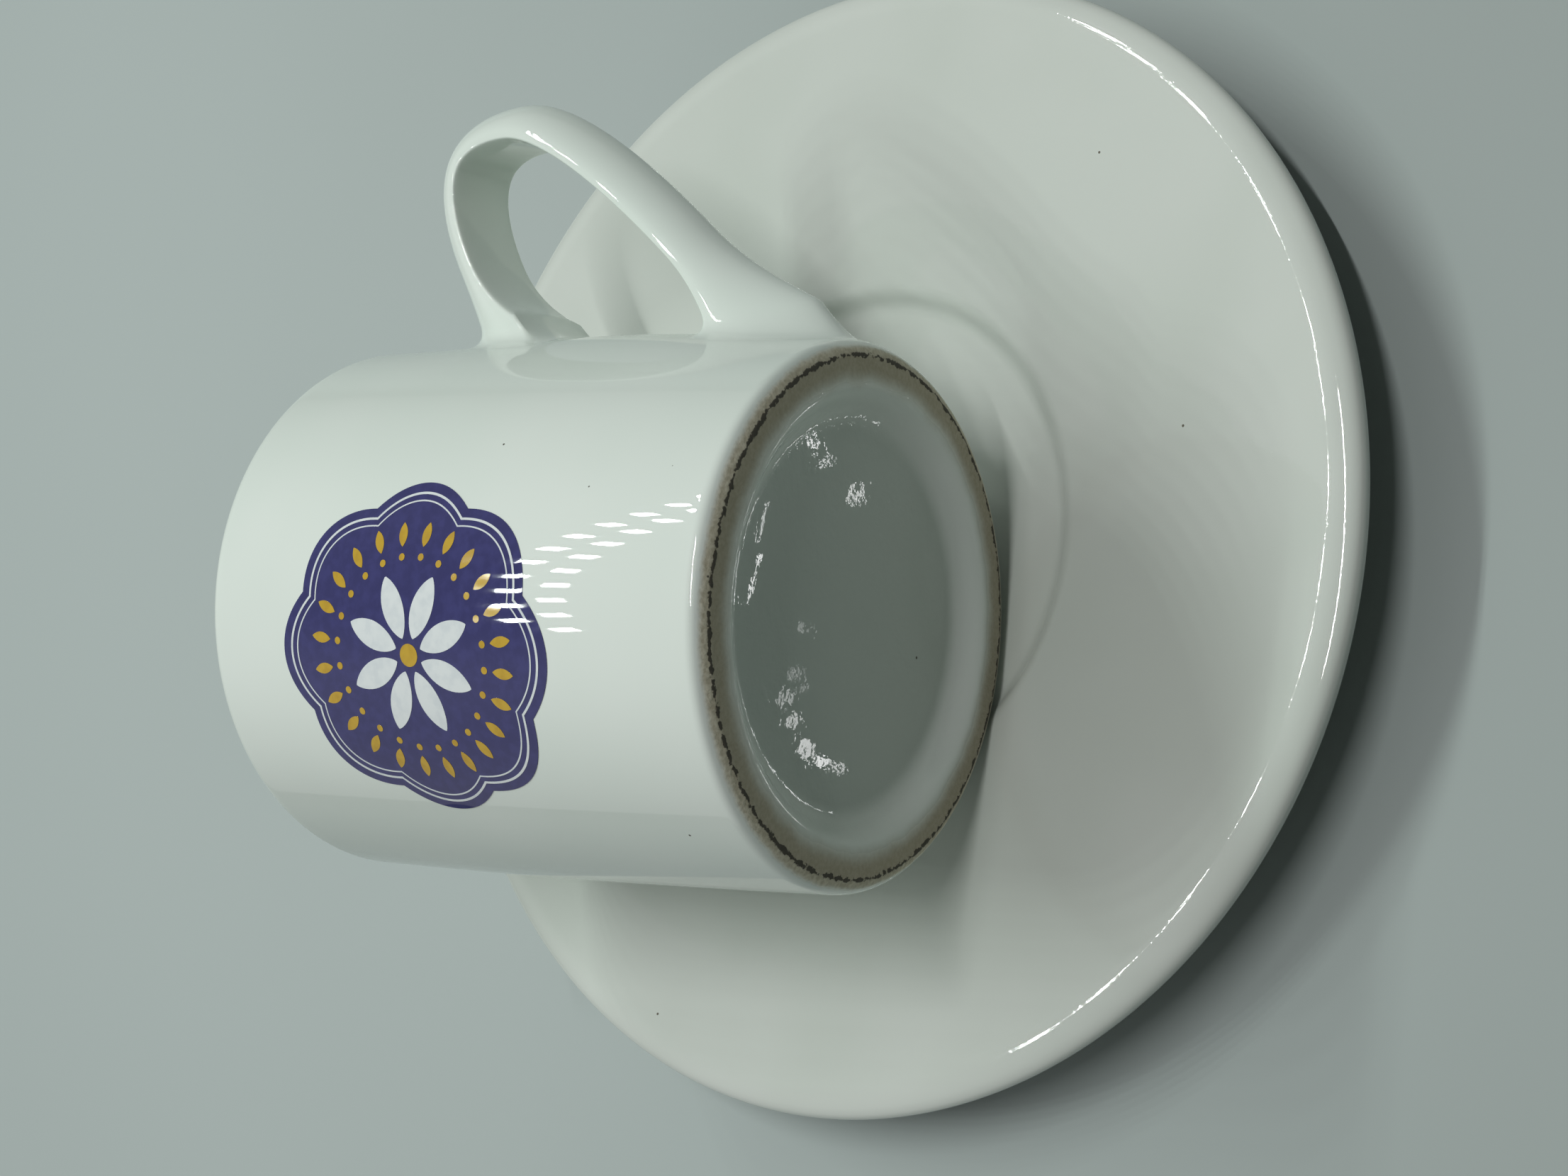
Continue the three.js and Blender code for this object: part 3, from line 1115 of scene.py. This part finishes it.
    def unroll(self, points: Array) -> Array:
        """Unrolls points from the wall.

        Args:
            points: Points (x, y, z) in the cup's own frame.

        Returns:
            Points (distance round the wall, height, distance out from the wall).
        """
        around = np.arctan2(points[..., 1], points[..., 0]) * self.shell.base_radius
        wall = self.shell.wall_radius(points[..., 2]) + self.shell.swelling(points[..., 2], around)
        out = np.hypot(points[..., 0], points[..., 1]) - wall
        return np.stack([around, points[..., 2], out], axis=-1)

    def roll(self, flat: Array) -> Array:
        """Rolls points back onto the wall.

        Args:
            flat: Points (distance round the wall, height, distance out from the wall).

        Returns:
            Points (x, y, z) in the cup's own frame.
        """
        wall = self.shell.wall_radius(flat[..., 1]) + self.shell.swelling(flat[..., 1], flat[..., 0])
        radius = wall + flat[..., 2]
        angle = flat[..., 0] / self.shell.base_radius
        return np.stack([radius * np.cos(angle), radius * np.sin(angle), flat[..., 1]], axis=-1)

    def crossing(self, lines: Array) -> tuple[Array, Array]:
        """Where each long line of the strap comes out of the wall, going up from its first point.

        Args:
            lines: Points (along, round, 3).

        Returns:
            The unrolled crossing points, and the length along each line at its crossing.
        """
        out = self.unroll(lines)[..., 2]
        after = np.argmax(out > 0, axis=0)
        column = np.arange(lines.shape[1])
        low, high = out[after - 1, column], out[after, column]
        share = (-low / (high - low))[:, None]
        point = lines[after - 1, column] * (1 - share) + lines[after, column] * share
        lengths = run_lengths(lines)
        length = lengths[after - 1, column] * (1 - share[:, 0]) + lengths[after, column] * share[:, 0]
        return self.unroll(point), length

    def fillet_rings(self, seat: Array, leaves: Array) -> Array:
        """Fillet between the wall and the strap, on the unrolled wall: a parabola from a landing point,
        which lies outward from the seat's outline, by way of the outline to where the strap leaves.

        Args:
            seat: The strap's outline on the wall, unrolled, (round, 3).
            leaves: Where the strap leaves the fillet, unrolled, (round, 3).

        Returns:
            Rings from under the wall to the strap, (rings, round, 3), in the cup's frame.
        """
        tangent = np.roll(seat, -1, axis=0)[:, :2] - np.roll(seat, 1, axis=0)[:, :2]
        normal = np.stack([tangent[:, 1], -tangent[:, 0]], axis=1)
        normal /= np.linalg.norm(normal, axis=1, keepdims=True)
        outward = np.sign(np.sum(normal * (seat[:, :2] - seat[:, :2].mean(axis=0))))
        normal *= outward
        spread = self.spread(normal, seat)[:, None]
        lands = seat.copy()
        lands[:, :2] += normal * spread
        lands[:, 2] = 0
        under = lands.copy()
        under[:, :2] += normal * self.sunk
        under[:, 2] = -self.sunk
        share = np.linspace(0, 1, self.fillet_steps + 1)[:, None, None]
        curve = (1 - share) ** 2 * lands + 2 * share * (1 - share) * seat + share**2 * leaves
        return self.roll(np.concatenate([under[None], curve]))

    def spread(self, normal: Array, seat: Array) -> Array:
        """How far the fillet spreads on the wall: less on the side of a seat that looks to the foot.

        Args:
            normal: Outward direction on the unrolled wall at each point, (round, 2).
            seat: The strap's outline on the wall, unrolled, (round, 3).

        Returns:
            The spread at each point, (round,).
        """
        by_foot = smooth_step((self.foot_side_top - seat[:, 1]) / self.foot_side_fade)
        to_foot = np.clip(-normal[:, 1], 0, 1) * by_foot
        return self.fillet + (self.fillet_at_foot - self.fillet) * to_foot

    def build(self, pose: LyingPose, glaze: bpy.types.Material) -> None:
        """Makes the handle and dresses it.

        Args:
            pose: Where the cup lies.
            glaze: The cup's glaze.
        """
        lines = self.strap()
        lower, starts = self.crossing(lines)
        upper, back = self.crossing(lines[::-1])
        lengths = run_lengths(lines)
        ends = lengths[-1] - back
        share = np.linspace(0, 1, self.strap_steps + 1)[:, None]
        outer_side = np.cos(np.linspace(0, 2 * np.pi, self.sides, endpoint=False))
        lower_climb = self.climb + self.climb_more * smooth_step(outer_side)
        upper_climb = self.climb + self.climb_more * smooth_step(-outer_side)
        wanted = (starts + lower_climb) * (1 - share) + (ends - upper_climb) * share
        body = np.empty((self.strap_steps + 1, self.sides, 3))
        for side in range(self.sides):
            for axis in range(3):
                body[:, side, axis] = np.interp(wanted[:, side], lengths[:, side], lines[:, side, axis])
        below = self.fillet_rings(lower, self.unroll(body[0]))
        above = self.fillet_rings(upper, self.unroll(body[-1]))[::-1]
        rings = np.concatenate([below, body[1:-1], above])
        surface = capped_tube(rings[:, ::-1], rings[0].mean(axis=0), rings[-1].mean(axis=0))
        surface.values["foot_run"] = np.full(len(surface.points), self.shell.height)
        surface.points = pose.place(surface.points)
        add_piece("cup_handle_strap", surface, glaze, Body.CUP, "cup_handle")


# Printed medallion


@dataclass
class Medallion:
    """Lobed print on the wall: a dark ground, two fine outlines, a ring of lozenges and a rosette."""

    shell: CupShell
    radius: float = 16.0
    lobes: int = 8
    lobe_depth: float = 1.5
    below_lip: float = 26.4
    turn_from_handle: float = 98.0
    root: float = 0.1
    ground: float = 0.05
    ink: float = 0.025
    outline_insets: tuple[float, float] = (0.95, 1.75)
    outline_widths: tuple[float, float] = (0.24, 0.15)
    lozenges: int = 24
    lozenge_ring: float = 11.0
    lozenge_long: float = 1.15
    lozenge_wide: float = 0.5
    lozenge_point: float = 0.8
    bead_ring: float = 8.9
    bead_radius: float = 0.34
    petals: int = 8
    petal_middle: float = 4.6
    petal_long: float = 3.0
    petal_wide: float = 1.25
    petal_point: float = 0.6
    heart: float = 1.05
    steps: int = 384
    ground_rings: int = 24
    leaf_steps: int = 40
    leaf_rings: int = 4
    crease: float = 40.0

    def reach(self, angle: Array, inset: float = 0.0) -> Array:
        """Distance from the middle to the lobed outline: the radius less a scallop 1 - |cos|."""
        scallop = np.abs(np.cos(angle * self.lobes / 2))
        return self.radius - inset - self.lobe_depth * (1 - scallop)

    def wrap(self, flat: Array, offset: Array | float) -> Array:
        """Bends points onto the wall.

        Args:
            flat: Points (along, up) from the medallion's middle.
            offset: How far each lies out from the wall.

        Returns:
            Points in the cup's own frame.
        """
        middle = self.shell.height - self.below_lip
        height = middle + flat[..., 1]
        radius = self.shell.wall_radius(height) + offset
        angle = math.radians(self.turn_from_handle) + flat[..., 0] / self.shell.wall_radius(middle)
        return np.stack([radius * np.cos(angle), -radius * np.sin(angle), height], axis=-1)

    def plate(self, outline: Array, low: float, high: float, rings: int) -> Surface:
        """Thin plate inside an outline: the outline shrunk to its middle in even rings, on two faces.

        Args:
            outline: Points (along, up) round the plate.
            low: Offset of its inner face from the wall.
            high: Offset of its outer face.
            rings: Steps from the middle to the outline.

        Returns:
            The closed plate.
        """
        middle = outline.mean(axis=0)
        shares = np.linspace(0, 1, rings + 1)[1:, None, None]
        face = middle + (outline - middle) * shares
        lower, upper = self.wrap(face, low), self.wrap(face[::-1], high)
        stack = np.concatenate([lower, upper])
        return capped_tube(stack, self.wrap(middle, low), self.wrap(middle, high))

    def band(self, inset: float, width: float) -> Surface:
        """Fine closed line along the lobed outline: a flat ribbon of four edges carried round it.

        Args:
            inset: How far its outer edge lies inside the outline.
            width: Its width.

        Returns:
            The closed ribbon.
        """
        angle = np.linspace(0, 2 * np.pi, self.steps, endpoint=False)
        across = np.stack([np.cos(angle), np.sin(angle)], axis=1)
        outer = across * self.reach(angle, inset)[:, None]
        inner = across * self.reach(angle, inset + width)[:, None]
        top = self.ground + self.ink
        corners = ((inner, 0.0), (outer, 0.0), (outer, top), (inner, top))
        edges = np.stack([self.wrap(edge, offset) for edge, offset in corners])
        faces = np.array(tube_faces(len(edges) + 1, self.steps)) % (len(edges) * self.steps)
        return Surface(edges.reshape(-1, 3), faces.tolist())

    def leaf(self, centre: Point, long: float, wide: float, angle: float, point: float) -> Surface:
        """Leaf-shaped plate: (long cos t, wide sin t |sin t|^point), turned to an angle.

        Args:
            centre: Its middle, (along, up).
            long: Half its length.
            wide: Half its width.
            angle: Direction of its length in radians.
            point: How sharp its ends are, 0 for round.

        Returns:
            The closed plate.
        """
        t = np.linspace(0, 2 * np.pi, self.leaf_steps, endpoint=False)
        x, y = long * np.cos(t), wide * np.sin(t) * np.abs(np.sin(t)) ** point
        along = centre[0] + x * math.cos(angle) - y * math.sin(angle)
        up = centre[1] + x * math.sin(angle) + y * math.cos(angle)
        outline = np.stack([along, up], axis=1)
        return self.plate(outline, 0.0, self.ground + self.ink, self.leaf_rings)

    def ring_of_leaves(
        self, count: int, radius: float, long: float, wide: float, point: float
    ) -> list[Surface]:
        """Leaves at even steps round the middle, each pointing outwards.

        Args:
            count: Number of leaves.
            radius: Distance of their middles from the medallion's middle.
            long: Half a leaf's length.
            wide: Half its width.
            point: How sharp its ends are.

        Returns:
            The leaves.
        """
        angles = (np.arange(count) + 0.5) * 2 * np.pi / count
        leaves = []
        for angle in angles.tolist():
            centre = (radius * math.cos(angle), radius * math.sin(angle))
            leaves.append(self.leaf(centre, long, wide, angle, point))
        return leaves

    def build(self, pose: LyingPose) -> None:
        """Makes the ground and the two inks over it, and dresses them.

        Args:
            pose: Where the cup lies.
        """
        angle = np.linspace(0, 2 * np.pi, self.steps, endpoint=False)
        outline = np.stack([np.cos(angle), np.sin(angle)], axis=1) * self.reach(angle)[:, None]
        ground = self.plate(outline, -self.root, self.ground, self.ground_rings)
        petals = self.ring_of_leaves(
            self.petals, self.petal_middle, self.petal_long, self.petal_wide, self.petal_point
        )
        lines = zip(self.outline_insets, self.outline_widths)
        bands = [self.band(inset, width) for inset, width in lines]
        lozenges = self.ring_of_leaves(
            self.lozenges, self.lozenge_ring, self.lozenge_long, self.lozenge_wide, self.lozenge_point
        )
        beads = self.ring_of_leaves(
            self.lozenges, self.bead_ring, self.bead_radius, self.bead_radius, 0.0
        )
        heart = self.leaf((0.0, 0.0), self.heart, self.heart, 0.0, 0.0)
        white = joined([*petals, *bands])
        gold = joined([*lozenges, *beads, heart])
        for name, surface, ink, node in (
            ("medallion_ground", ground, NAVY_INK, "front_medallion"),
            ("medallion_white", white, WHITE_INK, None),
            ("medallion_gold", gold, GOLD_INK, None),
        ):
            surface.points = pose.place(surface.points)
            add_piece(name, surface, ink.material(), Body.CUP, node, self.crease)


# Stage


@dataclass(frozen=True)
class Glow:
    """Soft bright patch of the room: its direction, the cosine of its edge and its strength."""

    direction: Triple
    edge: float
    strength: float


@dataclass(frozen=True)
class Glint:
    """Tiny lamp that shows in gloss alone: its middle and its sides in millimetres, and its radiance."""

    place: Triple
    size: Point
    radiance: float


@dataclass
class Studio:
    """Pale floor with painted shade to one side, a twin row of small lamps, a strip lamp overhead and a
    dim room with soft glows.

    Places and lengths are millimetres, and powers are watts.
    """

    floor_half: float = 1500.0
    # Painted shade on the floor: its shaded and lit tones, the direction it lightens along, where it
    # changes, and the noise that makes its edge waver.
    floor_shaded_tone: Rgb = (155, 165, 162)
    floor_lit_tone: Rgb = (178, 188, 186)
    floor_shade_lifts_along: Triple = (-0.45, 0.89, 0.0)
    floor_shade_ramp: tuple[float, float] = (-80.0, 165.0)
    floor_shade_clouds: float = 60.0
    floor_shade_drift: float = 30.0
    floor_roughness: float = 0.55
    row_start: Triple = (390.0, 311.0, 550.0)
    row_end: Triple = (-105.0, 324.0, 550.0)
    row_shift: Triple = (-28.0, -23.0, 0.0)
    lamps_in_row: int = 11
    lamp_size: float = 11.0
    lamp_power: float = 0.076
    lamp_tint: Triple = (0.92, 1.0, 0.96)
    strip_middle: Triple = (65.0, -108.0, 550.0)
    strip_size: tuple[float, float] = (270.0, 8.0)
    strip_power: float = 1.02
    glows: tuple[Glow, ...] = (
        Glow((-0.85, 0.35, 0.4), 0.6, 0.52),
        Glow((0.85, 0.2, 0.45), 0.6, 0.23),
        Glow((0.0, 0.6, 0.8), 0.7, 0.34),
    )
    room_dim: float = 0.005
    backdrop: float = 0.12
    glints: tuple[Glint, ...] = (
        Glint((-24.9, -25.9, 20.0), (0.6, 1.3), 5.0),
        Glint((-24.5, -26.2, 22.3), (0.8, 1.5), 8.0),
        Glint((-23.4, -26.6, 25.2), (1.4, 1.2), 6.0),
        Glint((-21.2, -26.8, 27.5), (1.4, 0.9), 5.0),
        Glint((-19.0, -27.0, 28.7), (1.6, 0.7), 3.5),
        Glint((-16.6, -26.8, 27.8), (1.1, 0.5), 2.2),
        Glint((-17.8, -26.6, 26.6), (1.0, 0.5), 1.8),
        Glint((-12.1, -26.7, 26.7), (0.8, 0.7), 1.8),
        Glint((1.9, -25.9, 20.3), (2.2, 0.5), 7.0),
        Glint((5.1, -26.8, 28.1), (0.8, 0.7), 9.0),
        Glint((4.0, -26.6, 26.1), (0.7, 0.7), 6.0),
        Glint((-4.5, -23.2, 41.9), (3.8, 0.16), 7.0),
        Glint((-9.7, -23.3, 42.4), (4.6, 0.24), 9.0),
    )
    glint_aim: Triple = (-0.11, 0.49, 0.865)

    def floor(self) -> None:
        """Lays the floor under the saucer, with painted shade that darkens it to one side."""
        half = self.floor_half * MM
        corners = [(-half, -half, 0), (half, -half, 0), (half, half, 0), (-half, half, 0)]
        mesh = bpy.data.meshes.new("floor")
        mesh.from_pydata(corners, [], [(0, 1, 2, 3)])
        sketch = Finish("floor_with_painted_shade")
        # Painted shade: the colour runs from the shaded tone to the lit tone along one direction, on a
        # wavering edge.
        across = sketch.along(self.floor_shade_lifts_along)
        clouds = sketch.noise(self.floor_shade_clouds, detail=3.0)
        drifting = sketch.math("MULTIPLY_ADD", clouds, self.floor_shade_drift * MM, across)
        painted_shade_share = sketch.remap(drifting, self.floor_shade_ramp[0] * MM, self.floor_shade_ramp[1] * MM)
        sketch.set("Base Color", sketch.mix(painted_shade_share, self.floor_shaded_tone, self.floor_lit_tone))
        sketch.set("Roughness", self.floor_roughness)
        mesh.materials.append(sketch.material)
        floor = bpy.data.objects.new("floor", mesh)
        bpy.context.scene.collection.objects.link(floor)

    def area_light(self, name: str, place: Vector, size: Point, power: float) -> bpy.types.Object:
        """Adds a rectangular lamp that faces the saucer.

        Args:
            name: The lamp's name.
            place: Its middle in millimetres.
            size: Its sides in millimetres.
            power: Its power in watts.

        Returns:
            The lamp.
        """
        light = bpy.data.lights.new(name, "AREA")
        light.shape = "RECTANGLE"
        light.size, light.size_y = size[0] * MM, size[1] * MM
        light.energy = power
        lamp = bpy.data.objects.new(name, light)
        lamp.location = place * MM
        lamp.rotation_mode = "QUATERNION"
        lamp.rotation_quaternion = (-place).to_track_quat("-Z", "Y")
        bpy.context.scene.collection.objects.link(lamp)
        return lamp

    def lamps(self) -> None:
        """Hangs two rows of small lamps, the second one shifted, and the strip lamp."""
        size = (self.lamp_size, self.lamp_size)
        for row in range(2):
            start = Vector(self.row_start) + row * Vector(self.row_shift)
            end = Vector(self.row_end) + row * Vector(self.row_shift)
            for number in range(self.lamps_in_row):
                place = start.lerp(end, number / (self.lamps_in_row - 1))
                lamp = self.area_light(f"lamp_{row}_{number}", place, size, self.lamp_power)
                lamp.data.color = self.lamp_tint
        self.area_light("strip_lamp", Vector(self.strip_middle), self.strip_size, self.strip_power)

    def glint_lamps(self) -> None:
        """Hangs tiny lamps before the base, for the rows' images that its glaze sees in the saucer.

        A lamp's power is its radiance times pi times its area.
        """
        for number, glint in enumerate(self.glints):
            power = glint.radiance * math.pi * glint.size[0] * glint.size[1] * MM**2
            lamp = self.area_light(f"glint_{number}", Vector(glint.place), glint.size, power)
            lamp.rotation_quaternion = Vector(self.glint_aim).to_track_quat("-Z", "Y")
            lamp.visible_camera = False
            lamp.visible_diffuse = False

    def room(self) -> None:
        """Surrounds the stage with a dim room where glows add up, and a grey backdrop that only shows."""
        world = bpy.data.worlds.new("room")
        bpy.context.scene.world = world
        world.use_nodes = True
        nodes = world.node_tree.nodes
        sketch = NodeSketch(world.node_tree, "Generated")
        level = self.room_dim
        for glow in self.glows:
            facing = sketch.along(Vector(glow.direction).normalized())
            level = sketch.math("ADD", level, sketch.remap(facing, glow.edge, 1.0, 0.0, glow.strength))
        path = nodes.new("ShaderNodeLightPath")
        for ray in ("Is Camera Ray", "Is Glossy Ray", "Is Transmission Ray"):
            level = sketch.math("MULTIPLY_ADD", path.outputs[ray], self.backdrop, level)
        sketch.put(nodes["Background"].inputs["Strength"], level)
        nodes["Background"].inputs["Color"].default_value = (1.0, 1.0, 1.0, 1.0)

    def build(self) -> None:
        """Sets up the floor, the lamps and the room."""
        self.floor()
        self.lamps()
        self.glint_lamps()
        self.room()


@dataclass
class PhotoCamera:
    """Camera at the photograph's place, turned on its side as the photograph is.

    The lens follows from the focal length and the frame's width in pixels of the whole picture.
    """

    place: Triple = (-30.115, -140.355, 177.751)
    target: Triple = (-4.049, 15.781, -1.3)
    roll: float = 77.68
    focal_pixels: float = 2947.5
    frame_pixels: float = 2212.0
    sensor: float = 36.0
    clip_start: float = 10.0

    def build(self) -> None:
        """Adds the camera and makes it the scene's own."""
        forward = (Vector(self.target) - Vector(self.place)).normalized()
        level = forward.cross(Vector((0, 0, 1))).normalized()
        down = forward.cross(level)
        angle = math.radians(self.roll)
        right = level * math.cos(angle) + down * math.sin(angle)
        up = level * math.sin(angle) - down * math.cos(angle)
        data = bpy.data.cameras.new("photo_camera")
        data.sensor_fit = "HORIZONTAL"
        data.sensor_width = self.sensor
        data.lens = self.focal_pixels / self.frame_pixels * self.sensor
        data.clip_start = self.clip_start * MM
        camera = bpy.data.objects.new("photo_camera", data)
        camera.matrix_world = Matrix.Translation(Vector(self.place) * MM) @ Matrix(
            (right, up, -forward)
        ).transposed().to_4x4()
        bpy.context.scene.collection.objects.link(camera)
        bpy.context.scene.camera = camera


def main() -> None:
    """Builds the camera, the pieces and the stage in order."""
    logging.basicConfig(level=logging.INFO, format="%(name)s: %(message)s")
    bpy.context.scene.view_settings.view_transform = "Standard"
    PhotoCamera().build()
    Saucer().build()
    pose = LyingPose()
    shell = CupShell()
    glaze = CUP_GLAZE.material()
    shell.build(pose, glaze)
    Handle(shell).build(pose, glaze)
    Medallion(shell).build(pose)
    Studio().build()


if __name__ == "__main__":
    main()
